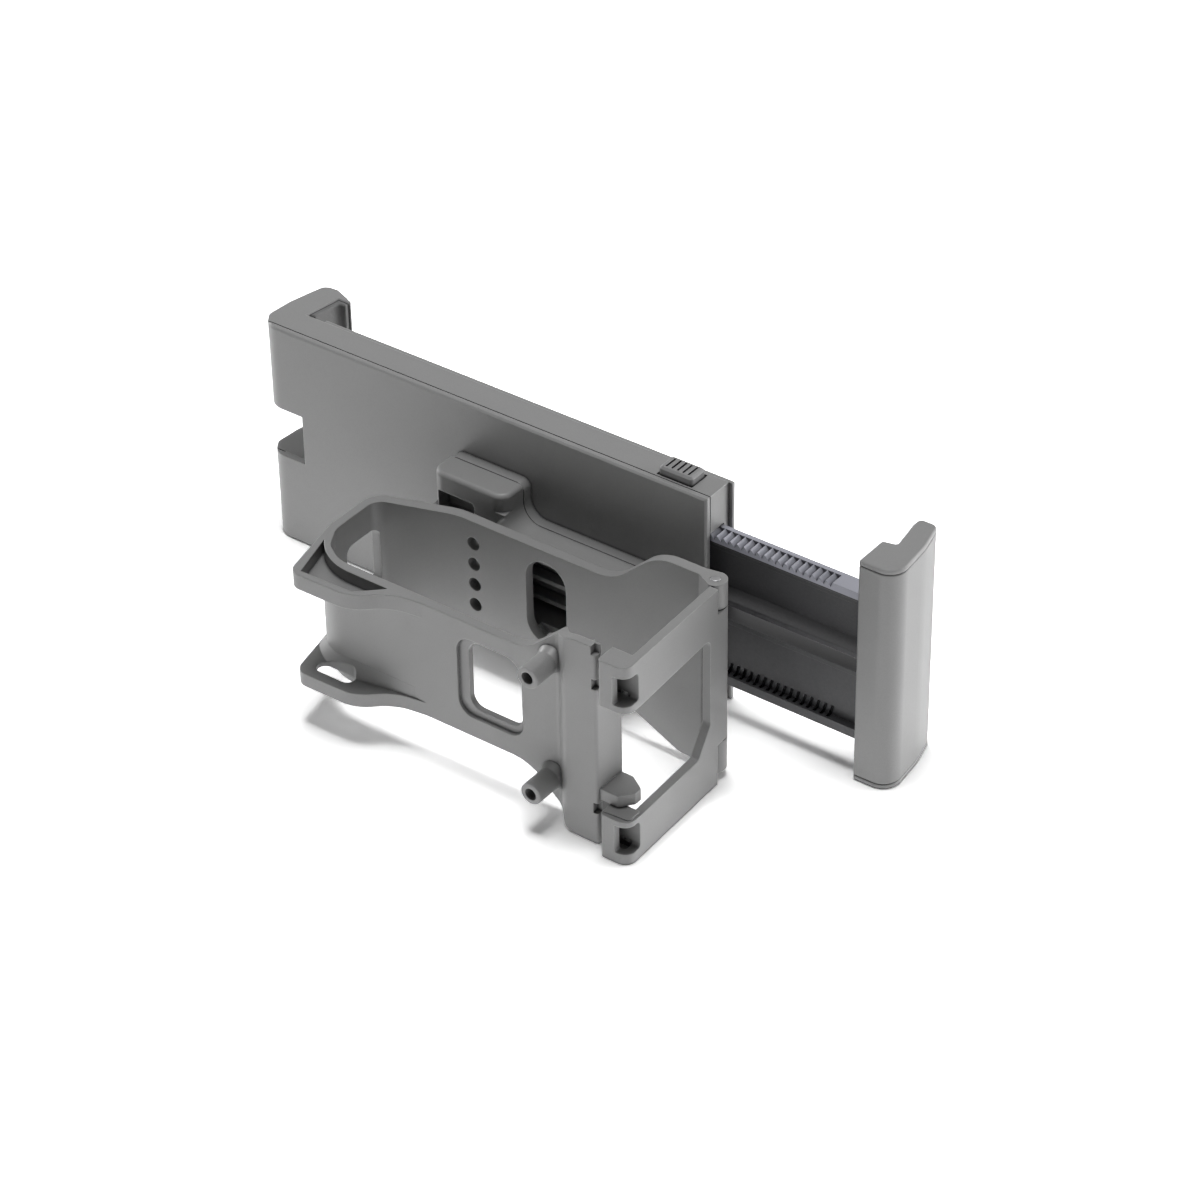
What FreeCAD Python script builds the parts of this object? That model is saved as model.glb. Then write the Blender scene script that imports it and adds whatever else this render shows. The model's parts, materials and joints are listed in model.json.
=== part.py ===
import FreeCAD, Part
import math
import os
import Sketcher
from FreeCAD import Placement, Rotation, Vector

os.makedirs("parts", exist_ok=True)
doc = FreeCAD.newDocument("TabletHolder")

# Driving sizes in millimetres. Pieces are drawn from the front bottom left
# corner of the clamp body: x along the clamp, y away from the user, z up.
# Each piece's placement then moves the middle of the tablet face to the origin.
sizes = {
    # Clamp body
    "body_length": 138.0,
    "body_height": 65.7,
    "cover_depth": 1.9,
    "seam_depth": 0.3,
    "seam_inset": 0.9,
    "cover_bevel": 0.5,
    "shell_back": 9.65,
    "shell_wall": 2.0,
    "left_block": 11.1,
    "plate_depth": 0.9,
    "plate_overhang": 1.07,
    "plate_start": 10.2,
    "plate_corner": 0.4,
    "slide_gap": 0.3,
    "guide_thick": 1.4,
    # Fixed jaw
    "notch_right": 9.1,
    "notch_low": 26.2,
    "jaw_out": 3.8,
    "jaw_corner": 6.0,
    "lip_inner": 20.6,
    "lip_depth": 3.3,
    "lip_taper": 3.2,
    "hook_bevel": 0.4,
    "hook_height": 24.7,
    "lip_tip": 9.9,
    "seat_foot": 4.45,
    "seat_tip": 6.1,
    "pad_thick": 1.3,
    "pad_seat": 1.6,
    "pad_inset": 0.3,
    "pad_bevel": 0.3,
    # Sliding rail
    "rail_front": 2.2,
    "rail_back": 7.3,
    "rail_low": 11.0,
    "rail_margin": 11.1,
    "rail_hidden": 81.5,
    "rail_flange": 2.6,
    "rail_web_upper": 5.3,
    "rail_web_lower": 4.3,
    "rail_step": 3.2,
    "rib_front": 2.3,
    "rib_rise": 3.4,
    "slot_width": 4.2,
    "slot_lip": 1.3,
    "slot_past": 1.3,
    "tooth_pitch": 2.0,
    "tooth_depth": 1.4,
    "tooth_share": 0.7,
    "tooth_back": 6.0,
    "rack_hidden": 76.4,
    "rack_margin": 8.3,
    "slit_width": 0.9,
    "slit_rise": 3.9,
    "slit_lean": 1.1,
    "slit_front": 2.9,
    "slit_back": 5.0,
    # Sliding jaw, where it stands in the photograph
    "extension": 43.9,
    "right_depth": 23.4,
    "right_width": 10.4,
    "right_corner": 7.2,
    "cap_thick": 1.5,
    "cap_bevel": 0.3,
    "cap_round": 0.5,
    "rail_grip": 5.1,
    "inner_foot": 3.9,
    "inner_tip": 2.3,
    "right_pad_thick": 0.9,
    "right_pad_margin": 5.0,
    # Release button, lever and spring
    "button_margin": 6.2,
    "button_width": 10.0,
    "button_front": 2.7,
    "button_back": 8.7,
    "button_rise": 2.3,
    "button_round": 0.9,
    "button_bevel": 0.6,
    "grip_count": 5.0,
    "grip_pitch": 1.65,
    "grip_width": 0.6,
    "grip_depth": 0.7,
    "grip_margin": 1.0,
    "button_travel": 1.5,
    "lever_reach": 15.1,
    "lever_to_button": 8.2,
    "lever_rise": 4.8,
    "pawl_reach": 13.6,
    "lever_thick": 2.6,
    "lever_front": 2.7,
    "lever_back": 6.9,
    "pin_radius": 1.0,
    "pin_play": 0.05,
    "spring_radius": 1.7,
    "wire_radius": 0.4,
    "spring_turns": 3.0,
    # Screws
    "screw_radius": 1.0,
    "screw_head_radius": 1.85,
    "screw_head_depth": 1.1,
    "post_radius": 1.7,
    "post_margin": 7.0,
    "post_spacing": 31.0,
    # Mounting bracket
    "bracket_left": 61.0,
    "bracket_right": 124.0,
    "bracket_low": 18.3,
    "ledge_level": 40.4,
    "head_right": 84.4,
    "head_level": 51.0,
    "head_front": 11.0,
    "bracket_rear_depth": 3.4,
    "bracket_seam": 0.4,
    "hollow_round": 5.5,
    "head_round": 4.0,
    "spacer_step": 0.4,
    "slot_depth": 7.0,
    # Controller cage
    "cage_left": 51.6,
    "cage_height": 58.7,
    "wall_low": 12.3,
    "wall_high": 46.3,
    "rear_outer": 15.1,
    "rear_wall": 2.9,
    "front_outer": 52.6,
    "front_wall": 2.6,
    "left_wall": 2.4,
    "cage_corner": 17.0,
    "rise_foot": 122.8,
    "rise_head": 136.4,
    "rear_foot": 142.8,
    "rise_round": 13.0,
    "post_left": 136.3,
    "post_right": 146.4,
    "post_front": 56.4,
    "post_wall": 2.2,
    "post_return": 46.5,
    "return_top": 46.0,
    "flange_upper": 4.4,
    "flange_lower": 3.9,
    "lower_web": 1.3,
    "gusset_reach": 3.2,
    "gusset_rise": 3.4,
    "flange_front": 60.8,
    "rim_wall": 1.8,
    "recess_depth": 3.4,
    "lanyard_left": 59.2,
    "lanyard_right": 70.8,
    "lanyard_middle": 55.7,
    "lanyard_width": 4.4,
    "window_left": 104.4,
    "window_right": 120.4,
    "window_low": 20.3,
    "window_high": 40.5,
    "window_round": 3.5,
    "window_margin": 3.0,
    "window_sill": 2.2,
    "window_recess": 1.0,
    "boss_place": 130.6,
    "boss_centre": 29.4,
    "boss_spacing": 34.8,
    "boss_radius": 3.0,
    "boss_flare": 0.8,
    "boss_bore": 1.65,
    "boss_tip": 62.3,
    "boss_hole_depth": 8.0,
    "hole_place": 79.7,
    "hole_low": 21.0,
    "hole_pitch": 6.2,
    "hole_radius": 1.9,
    "oval_left": 96.0,
    "oval_right": 108.5,
    "oval_low": 17.9,
    "oval_high": 42.8,
    "well_reach": 11.0,
    "collar_reach": 3.0,
    "tab_low": 13.4,
    "tab_high": 16.6,
    "tab_right": 154.4,
    # Cage door
    "hinge_place": 153.0,
    "hinge_depth": 17.3,
    "knuckle_radius": 3.0,
    "hinge_pin_radius": 1.3,
    "hinge_play": 0.06,
    "knuckle_foot": 2.4,
    "knuckle_height": 11.7,
    "upper_knuckle": 7.1,
    "door_wall": 2.4,
    "door_lean": 1.6,
    "finger_front": 59.5,
    "finger_left": 149.3,
    "finger_back": 53.5,
    "finger_height": 13.2,
    "finger_plate": 1.8,
    "finger_wall": 0.9,
    "finger_window_low": 3.2,
    "finger_window_high": 11.4,
    "finger_window_left": 153.4,
    "door_open_back": 23.8,
    "door_open_front": 53.5,
}

# Places that follow from the sizes above
tied = {
    "notch_high": "body_height - hook_height",
    "rail_high": "body_height - rail_margin",
    "rail_start": "body_length - rail_hidden",
    "slot_low": "(rail_low + rail_high - slot_width) / 2 + 0.3",
    "slot_high": "slot_low + slot_width",
    "slot_end": "body_length + extension + slot_past",
    "slot_start": "rail_start + slot_width",
    "rack_start": "body_length - rack_hidden",
    "rack_end": "body_length + extension - rack_margin",
    "button_left": "body_length - button_margin - button_width",
    "lever_pivot": "button_left - lever_to_button",
    "lever_level": "rail_high + lever_rise",
    "pawl_centre": "lever_pivot - pawl_reach",
    "post_second": "body_length - post_margin",
    "post_first": "post_second - post_spacing",
}

dim = doc.addObject("Spreadsheet::Sheet", "dim")
for row, (alias, value) in enumerate([*sizes.items(), *tied.items()], start=1):
    dim.set(f"A{row}", alias)
    dim.set(f"B{row}", str(value) if alias in sizes else "=" + value)
    dim.setAlias(f"B{row}", alias)
    doc.recompute()


# One value of the sheet
def size(alias):
    return float(dim.get(alias))


BEYOND = 3.0
EVERYWHERE = 1000.0
plateBack = size("shell_back") + size("plate_depth")
pieces = []


# Moves a piece from the drawing corner to the middle of the tablet face
def place(piece):
    piece.Placement = Placement(Vector(0, 0, 0), Rotation())
    piece.setExpression("Placement.Base.x", "-dim.body_length / 2")
    piece.setExpression("Placement.Base.y", "-(dim.shell_back + dim.plate_depth)")
    piece.setExpression("Placement.Base.z", "-dim.body_height / 2")
    pieces.append(piece)


def newBody(label):
    body = doc.addObject("PartDesign::Body", label)
    body.Label = label
    place(body)
    return body


# A sketch on one of the body's origin planes, moved along the plane's normal
def newSketch(body, role, offset=0.0):
    plane = [item for item in body.Origin.OriginFeatures if item.Role == role][0]
    sketch = body.newObject("Sketcher::SketchObject", body.Label + "_sketch")
    sketch.AttachmentSupport = [(plane, "")]
    sketch.MapMode = "FlatFace"
    if isinstance(offset, str):
        sketch.setExpression("AttachmentOffset.Base.z", offset)
    else:
        sketch.AttachmentOffset = Placement(Vector(0, 0, offset), Rotation())
    return sketch


# Closed outline through corner points, each (x, y) or (x, y, corner radius)
def drawOutline(sketch, corners):
    count = len(corners)
    spots = [Vector(corner[0], corner[1], 0) for corner in corners]
    starts = []
    ends = []
    middles = []
    for index in range(count):
        here = spots[index]
        back = spots[index - 1] - here
        ahead = spots[(index + 1) % count] - here
        radius = corners[index][2] if len(corners[index]) > 2 else 0.0
        half = back.getAngle(ahead) / 2
        room = 0.49 * min(back.Length, ahead.Length)
        reach = min(radius / math.tan(half), room)
        radius = reach * math.tan(half)
        entry = here + back.normalize() * reach
        leave = here + ahead.normalize() * reach
        middle = here
        if radius > 0:
            inward = (back + ahead).normalize()
            middle = here + inward * (radius / math.sin(half) - radius)
        starts.append(entry)
        ends.append(leave)
        middles.append((radius, middle))
    geometry = []
    for index in range(count):
        radius, middle = middles[index]
        if radius > 0:
            geometry.append(Part.Arc(starts[index], middle, ends[index]))
        following = starts[(index + 1) % count]
        geometry.append(Part.LineSegment(ends[index], following))
    sketch.addGeometry(geometry, False)


# Rectangle whose four sides are held by expressions
def drawRectangle(sketch, left, low, right, high):
    first = sketch.GeometryCount
    corners = [Vector(0, 0, 0), Vector(5, 0, 0), Vector(5, 5, 0), Vector(0, 5, 0)]
    for index in range(4):
        sketch.addGeometry(Part.LineSegment(corners[index], corners[(index + 1) % 4]), False)
    for index in range(4):
        sketch.addConstraint(
            Sketcher.Constraint("Coincident", first + index, 2, first + (index + 1) % 4, 1))
    for index, kind in enumerate(["Horizontal", "Vertical", "Horizontal", "Vertical"]):
        sketch.addConstraint(Sketcher.Constraint(kind, first + index))
    sides = [
        ("DistanceX", first, 1, left, 0.0),
        ("DistanceY", first, 1, low, 0.0),
        ("DistanceX", first + 1, 2, right, 5.0),
        ("DistanceY", first + 1, 2, high, 5.0),
    ]
    for kind, line, end, expression, start in sides:
        number = sketch.addConstraint(Sketcher.Constraint(kind, -1, 1, line, end, start))
        sketch.setExpression(f"Constraints[{number}]", expression)


# Circle whose place and radius are held by expressions
def drawCircle(sketch, across, up, radius):
    number = sketch.addGeometry(Part.Circle(Vector(1, 1, 0), Vector(0, 0, 1), 1), False)
    held = [
        (Sketcher.Constraint("DistanceX", -1, 1, number, 3, 1.0), across),
        (Sketcher.Constraint("DistanceY", -1, 1, number, 3, 1.0), up),
        (Sketcher.Constraint("Radius", number, 1.0), radius),
    ]
    for constraint, expression in held:
        place_number = sketch.addConstraint(constraint)
        sketch.setExpression(f"Constraints[{place_number}]", expression)


# Works a new feature out and stops if it has failed
def settle(feature):
    doc.recompute()
    if "Invalid" in feature.State or "Error" in feature.State:
        raise RuntimeError(f"{feature.Name} failed")
    return feature


def pad(body, sketch, length, reverse=False):
    feature = body.newObject("PartDesign::Pad", body.Label + "_pad")
    feature.Profile = sketch
    feature.Reversed = reverse
    feature.setExpression("Length", length)
    return settle(feature)


# A pocket has to take something away from the body
def pocket(body, sketch, length, reverse=False):
    before = body.Shape.Volume
    feature = body.newObject("PartDesign::Pocket", body.Label + "_pocket")
    feature.Profile = sketch
    feature.Reversed = reverse
    feature.setExpression("Length", length)
    settle(feature)
    if not body.Shape.Volume < before:
        raise RuntimeError(f"{feature.Name} takes nothing away")
    return feature


def repeat(body, feature, direction, step, count):
    pattern = body.newObject("PartDesign::LinearPattern", body.Label + "_pattern")
    pattern.Originals = [feature]
    pattern.Direction = direction
    pattern.Occurrences = count
    pattern.Length = step * (count - 1)
    body.Tip = pattern
    return settle(pattern)


# Edges whose middle lies in a box, for rounding and bevelling
def edgesIn(shape, low, high):
    names = []
    for number, edge in enumerate(shape.Edges, start=1):
        middle = edge.BoundBox.Center
        inside = all(low[axis] <= middle[axis] <= high[axis] for axis in range(3))
        if inside:
            names.append(f"Edge{number}")
    return names


def dress(body, kind, names, amount):
    base = body.Tip
    feature = body.newObject("PartDesign::" + kind, body.Label + "_" + kind.lower())
    feature.Base = (base, names)
    feature.setExpression("Radius" if kind == "Fillet" else "Size", amount)
    return settle(feature)


def planeOf(body, role):
    return [item for item in body.Origin.OriginFeatures if item.Role == role][0]


# Places of the cover screws, as (x, z)
def coverScrews():
    low = (size("shell_wall") + size("rail_low") - size("slide_gap") - size("guide_thick")) / 2
    high = (size("rail_high") + size("slide_gap") + size("guide_thick")
            + size("body_height") - size("shell_wall")) / 2
    middle = (size("slot_low") + size("slot_high")) / 2
    near = size("left_block") + 5.0
    far = size("body_length") - 8.0
    return [
        (near, low), (far, low), (near, high), (near + 54.0, high),
        (size("post_first"), middle), (size("post_second"), middle),
    ]


# Places of the screws that hold the bracket to the cover, as (x, z)
def bracketScrews():
    left = size("bracket_left") + 8.0
    right = size("bracket_right") - 12.0
    return [
        (left, size("bracket_low") + 4.5),
        (right, size("bracket_low") + 4.5),
        (left, size("head_level") - 6.5),
    ]


# Circles of one radius at a list of places, drawn as plain geometry
def drawHoles(sketch, places, radius):
    for across, up in places:
        sketch.addGeometry(Part.Circle(Vector(across, up, 0), Vector(0, 0, 1), radius), False)


# Front cover: a thin lid with a rounded left edge, a seam rebate and screw posts
def buildFrontCover():
    body = newBody("front_cover")
    corner = size("jaw_corner")
    lid = size("cover_depth") - size("seam_depth")
    centre = Vector(corner - size("jaw_out"), corner, 0)
    outer = -math.sqrt(corner ** 2 - (corner - lid) ** 2) + centre.x
    halfway = math.radians(-90) - math.acos((corner - lid) / corner) / 2
    bulge = centre + Vector(math.cos(halfway), math.sin(halfway), 0) * corner
    right = size("body_length")
    section = newSketch(body, "XY_Plane")
    section.addGeometry([
        Part.LineSegment(Vector(right, 0, 0), Vector(right, lid, 0)),
        Part.LineSegment(Vector(right, lid, 0), Vector(outer, lid, 0)),
        Part.Arc(Vector(outer, lid, 0), bulge, Vector(centre.x, 0, 0)),
        Part.LineSegment(Vector(centre.x, 0, 0), Vector(right, 0, 0)),
    ], False)
    pad(body, section, "dim.body_height")
    names = edgesIn(body.Tip.Shape, (right - 0.1, -0.1, -1), (right + 0.1, 0.1, EVERYWHERE))
    for level in (0.0, size("body_height")):
        names += edgesIn(body.Tip.Shape, (centre.x - 0.1, -0.1, level - 0.1),
                         (right + 0.1, 0.1, level + 0.1))
    dress(body, "Chamfer", names, "dim.cover_bevel")
    step = newSketch(body, "XZ_Plane", "-(dim.cover_depth - dim.seam_depth)")
    drawRectangle(step, "dim.seam_inset", "dim.seam_inset",
                  "dim.body_length - dim.seam_inset", "dim.body_height - dim.seam_inset")
    pad(body, step, "dim.seam_depth", True)
    posts = newSketch(body, "XZ_Plane", "-(dim.cover_depth - 0.2)")
    drawHoles(posts, coverScrews(), size("post_radius"))
    pad(body, posts, "dim.shell_back - dim.shell_wall - dim.cover_depth + 0.2", True)
    threads = newSketch(body, "XZ_Plane", "-dim.shell_back")
    drawHoles(threads, coverScrews(), size("screw_radius") + size("pin_play"))
    pocket(body, threads, "dim.shell_back - dim.cover_depth + 0.6", True)
    notch = newSketch(body, "XZ_Plane", 1.0)
    drawRectangle(notch, "-20", "dim.notch_low", "dim.notch_right", "dim.notch_high")
    pocket(body, notch, "dim.cover_depth + 2")
    holes = newSketch(body, "XZ_Plane", 1.0)
    drawHoles(holes, bracketScrews(), size("screw_radius") + size("pin_play"))
    pocket(body, holes, "dim.cover_depth + 2")
    pivot = newSketch(body, "XZ_Plane", "-dim.cover_depth")
    drawCircle(pivot, "dim.lever_pivot", "dim.lever_level", "dim.pin_radius + dim.pin_play")
    pocket(body, pivot, "dim.cover_depth / 2", True)


# Sideways place of the fixed jaw's pad seat at a given depth
def seatAt(depth):
    foot = size("shell_back")
    share = (depth - foot) / (size("lip_inner") - foot)
    return size("seat_foot") + share * (size("seat_tip") - size("seat_foot"))


# Rear shell: the open tray that guides the rail, with the two fixed hooks
def buildRearShell():
    body = newBody("rear_shell")
    block = newSketch(body, "XZ_Plane", "-dim.cover_depth")
    drawRectangle(block, "2", "0", "dim.body_length", "dim.body_height")
    pad(body, block, "dim.shell_back - dim.cover_depth", True)
    corner = size("jaw_corner")
    centre = corner - size("jaw_out")
    start = size("cover_depth")
    edge = centre - math.sqrt(corner ** 2 - (corner - start) ** 2)
    back = size("shell_back")
    lip = size("lip_inner")
    far = lip + size("lip_depth")
    tip = size("lip_tip")
    hook = newSketch(body, "XY_Plane")
    drawOutline(hook, [
        (size("left_block"), start),
        (edge, start),
        (-size("jaw_out") - 0.1, start + 2.6, 2.5),
        (-size("jaw_out") + 0.4, back + 2.4, 12),
        (-size("jaw_out") + 2.9, far - 0.3, 2.6),
        (size("lip_taper"), far, 2.4),
        (tip, lip + 0.5, 0.6),
        (tip, lip),
        (seatAt(lip), lip),
        (seatAt(back), back),
        (size("left_block"), back),
    ])
    pad(body, hook, "dim.body_height")
    hollow = newSketch(body, "XZ_Plane", "-dim.cover_depth")
    drawRectangle(hollow, "dim.left_block", "dim.shell_wall",
                  "dim.body_length - dim.shell_wall", "dim.body_height - dim.shell_wall")
    pocket(body, hollow, "dim.shell_back - dim.shell_wall - dim.cover_depth")
    lower = newSketch(body, "XZ_Plane", "-dim.cover_depth")
    drawRectangle(lower, "dim.left_block - 1", "dim.rail_low - dim.slide_gap - dim.guide_thick",
                  "dim.body_length - 1", "dim.rail_low - dim.slide_gap")
    pad(body, lower, "dim.shell_back - dim.cover_depth - 1", True)
    pawlSide = "dim.pawl_centre - dim.lever_reach / 2"
    guides = [("dim.left_block - 1", pawlSide), ("dim.pawl_centre + 6", "dim.body_length - 1")]
    for left, right in guides:
        upper = newSketch(body, "XZ_Plane", "-dim.cover_depth")
        drawRectangle(upper, left, "dim.rail_high + dim.slide_gap",
                      right, "dim.rail_high + dim.slide_gap + dim.guide_thick")
        pad(body, upper, "dim.shell_back - dim.cover_depth - 1", True)
    mouth = newSketch(body, "YZ_Plane", "dim.body_length + 1")
    drawRectangle(mouth, "dim.cover_depth - 1", "dim.rail_low - dim.slide_gap",
                  "dim.rail_back + dim.slide_gap", "dim.rail_high + dim.slide_gap")
    pocket(body, mouth, "dim.shell_wall + 2")
    notch = newSketch(body, "XZ_Plane", 1.0)
    drawRectangle(notch, "-20", "dim.notch_low", "dim.notch_right", "dim.notch_high")
    pocket(body, notch, "dim.lip_inner + dim.lip_depth + 5")
    lipGap = newSketch(body, "XZ_Plane", "-(dim.shell_back + 1)")
    drawRectangle(lipGap, "-20", "dim.notch_low", "dim.lip_tip + 1", "dim.notch_high")
    pocket(body, lipGap, "dim.lip_inner + dim.lip_depth")
    # The hooks' inner edges are bevelled down to the pads, above and below
    rims = []
    for level in (0.0, size("body_height")):
        rims += edgesIn(body.Tip.Shape, (size("seat_foot"), back + 0.5, level - 0.01),
                        (tip - 0.1, lip + 0.01, level + 0.01))
    dress(body, "Chamfer", rims, "dim.hook_bevel")
    gap = "dim.slide_gap"
    button = newSketch(body, "XY_Plane", "dim.body_height + 1")
    drawRectangle(button, f"dim.button_left - {gap}", f"dim.button_front - {gap}",
                  f"dim.button_left + dim.button_width + {gap}", f"dim.button_back + {gap}")
    pocket(body, button, "dim.shell_wall + 1.2")
    pivot = newSketch(body, "XZ_Plane", "-(dim.shell_back - dim.shell_wall)")
    drawCircle(pivot, "dim.lever_pivot", "dim.lever_level", "dim.pin_radius + dim.pin_play")
    pocket(body, pivot, "dim.shell_wall * 0.6")
    holes = newSketch(body, "XZ_Plane", "-(dim.shell_back + 1)")
    drawHoles(holes, coverScrews(), size("screw_radius") + size("pin_play"))
    pocket(body, holes, "dim.shell_wall + 2", True)
    heads = newSketch(body, "XZ_Plane", "-(dim.shell_back + 1)")
    drawHoles(heads, coverScrews(), size("screw_head_radius") + size("pin_play"))
    pocket(body, heads, "dim.screw_head_depth + 1", True)


# Thin plate that the tablet's back lies on
def buildTabletPlate():
    body = newBody("tablet_plate")
    radius = size("plate_corner")
    right = size("body_length") + size("plate_overhang")
    sketch = newSketch(body, "XZ_Plane", "-dim.shell_back")
    drawOutline(sketch, [
        (size("plate_start"), 0, radius),
        (right, 0, radius),
        (right, size("body_height"), radius),
        (size("plate_start"), size("body_height"), radius),
    ])
    pad(body, sketch, "dim.plate_depth", True)


# Rubber pad inside one fixed hook, along the seat and the lip
def buildLeftPad(label, low, high):
    body = newBody(label)
    foot = plateBack + size("slide_gap")
    lip = size("lip_inner")
    thick = size("pad_thick")
    wide = size("pad_seat")
    sketch = newSketch(body, "XY_Plane", low)
    drawOutline(sketch, [
        (seatAt(foot), foot),
        (seatAt(foot) + wide, foot, 0.4),
        (seatAt(lip - thick) + wide, lip - thick, 0.8),
        (size("lip_tip") - 0.5, lip - thick, 0.4),
        (size("lip_tip") - 0.5, lip),
        (seatAt(lip), lip),
    ])
    pad(body, sketch, high)
    ends = []
    box = body.Tip.Shape.BoundBox
    for level in (box.ZMin, box.ZMax):
        ends += edgesIn(body.Tip.Shape, (box.XMin - 1, box.YMin - 1, level - 0.01),
                        (box.XMax + 1, box.YMax + 1, level + 0.01))
    dress(body, "Chamfer", ends, "dim.pad_bevel")


# Release button: a rounded, grooved cap with a neck and a wider foot
def buildReleaseButton():
    body = newBody("release_button")
    top = "dim.body_height + dim.button_rise"
    cap = newSketch(body, "XY_Plane", "dim.body_height - 0.5")
    drawRectangle(cap, "dim.button_left", "dim.button_front",
                  "dim.button_left + dim.button_width", "dim.button_back")
    pad(body, cap, "dim.button_rise + 0.5")
    level = size("body_height") + size("button_rise")
    uprights = [name for name in edgesIn(body.Tip.Shape, (0, 0, 0), (EVERYWHERE, EVERYWHERE, EVERYWHERE))
                if body.Tip.Shape.getElement(name).BoundBox.ZLength > 1]
    dress(body, "Fillet", uprights, "dim.button_round")
    names = edgesIn(body.Tip.Shape, (0, 0, level - 0.01), (EVERYWHERE, EVERYWHERE, level + 0.01))
    dress(body, "Chamfer", names, "dim.button_bevel")
    width = size("grip_width")
    middle = size("button_left") + size("button_width") / 2
    half = (size("grip_count") - 1) * size("grip_pitch") / 2
    groove = newSketch(body, "XY_Plane", f"{top} + 1")
    near = size("button_front") + size("grip_margin")
    beyond = size("button_back") - size("grip_margin")
    drawOutline(groove, [
        (middle - half - width / 2, near),
        (middle - half + width / 2, near),
        (middle - half + width / 2, beyond),
        (middle - half - width / 2, beyond),
    ])
    first = pocket(body, groove, "dim.grip_depth + 1")
    repeat(body, first, (planeOf(body, "X_Axis"), [""]), size("grip_pitch"), int(size("grip_count")))
    neck = newSketch(body, "XY_Plane", "dim.body_height - dim.shell_wall - dim.slide_gap")
    drawRectangle(neck, "dim.button_left + 1.2", "dim.button_front + 0.3",
                  "dim.button_left + dim.button_width - 1.2", "dim.shell_back - dim.shell_wall - 0.7")
    pad(body, neck, "dim.shell_wall + dim.slide_gap")
    foot = newSketch(body, "XY_Plane", "dim.body_height - dim.shell_wall - dim.slide_gap")
    drawRectangle(foot, "dim.button_left - 1.5", "dim.cover_depth + dim.slide_gap + 0.2",
                  "dim.button_left + dim.button_width + 2.8",
                  "dim.shell_back - dim.shell_wall - dim.slide_gap")
    pad(body, foot, "1.5", True)
    nose = newSketch(body, "XY_Plane", "dim.lever_level + 1.5 + dim.slide_gap")
    drawRectangle(nose, "dim.lever_pivot + 12.9", "dim.lever_front",
                  "dim.lever_pivot + 15.9", "dim.lever_back")
    pad(body, nose, "dim.body_height - dim.shell_wall - dim.slide_gap - dim.lever_level - 2.4")


# Coil spring between the upper guide and the button's foot
def buildButtonSpring():
    wire = size("wire_radius")
    radius = size("spring_radius")
    low = size("rail_high") + size("slide_gap") + size("guide_thick") + wire
    high = size("body_height") - size("shell_wall") - size("slide_gap") - 1.5 - wire
    across = size("button_left") + size("button_width") + 0.6
    depth = (size("lever_front") + size("lever_back")) / 2
    path = Part.makeHelix((high - low) / size("spring_turns"), high - low, radius)
    path.translate(Vector(across, depth, low))
    ring = Part.Wire(Part.makeCircle(wire, Vector(across + radius, depth, low), Vector(0, 1, 0)))
    coil = Part.Wire(path).makePipeShell([ring], True, True)
    spring = doc.addObject("Part::Feature", "button_spring")
    spring.Label = "button_spring"
    spring.Shape = coil
    place(spring)


# Lever that lifts the pawl off the rack when the button is pressed
def buildPawlLever():
    body = newBody("pawl_lever")
    pivot = size("lever_pivot")
    level = size("lever_level")
    reach = size("lever_reach")
    top = level + 1.5
    under = top - size("lever_thick")
    tip = size("rail_high") + size("slide_gap")
    centre = size("pawl_centre")
    sketch = newSketch(body, "XZ_Plane", "-dim.lever_front")
    drawOutline(sketch, [
        (pivot - reach, under, 0.3),
        (centre - 1.0, under),
        (centre - 1.0, tip),
        (centre - 0.6, tip),
        (centre + 1.0, tip + size("tooth_depth")),
        (centre + 1.0, under),
        (pivot - 3.2, under, 0.8),
        (pivot - 1.4, level - 2.1, 0.8),
        (pivot + 1.4, level - 2.1, 0.8),
        (pivot + 3.2, under, 0.8),
        (pivot + reach - 0.2, under, 0.3),
        (pivot + reach - 0.2, top, 0.3),
        (pivot - reach, top, 0.3),
    ])
    pad(body, sketch, "dim.lever_back - dim.lever_front", True)
    bore = newSketch(body, "XZ_Plane")
    drawCircle(bore, "dim.lever_pivot", "dim.lever_level", "dim.pin_radius + dim.pin_play")
    pocket(body, bore, "dim.shell_back")


# Steel pin that the lever turns on
def buildLeverPin():
    pin = doc.addObject("Part::Cylinder", "lever_pin")
    pin.Label = "lever_pin"
    pin.setExpression("Radius", "dim.pin_radius")
    pin.setExpression("Height", "dim.shell_back - dim.shell_wall * 0.5 - dim.cover_depth / 2")
    place(pin)
    pin.Placement = Placement(Vector(0, 0, 0), Rotation(Vector(-1, 0, 0), 90))
    pin.setExpression("Placement.Base.x", "dim.lever_pivot - dim.body_length / 2")
    pin.setExpression("Placement.Base.y",
                      "dim.cover_depth / 2 + 0.1 - dim.shell_back - dim.plate_depth")
    pin.setExpression("Placement.Base.z", "dim.lever_level - dim.body_height / 2")


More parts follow.
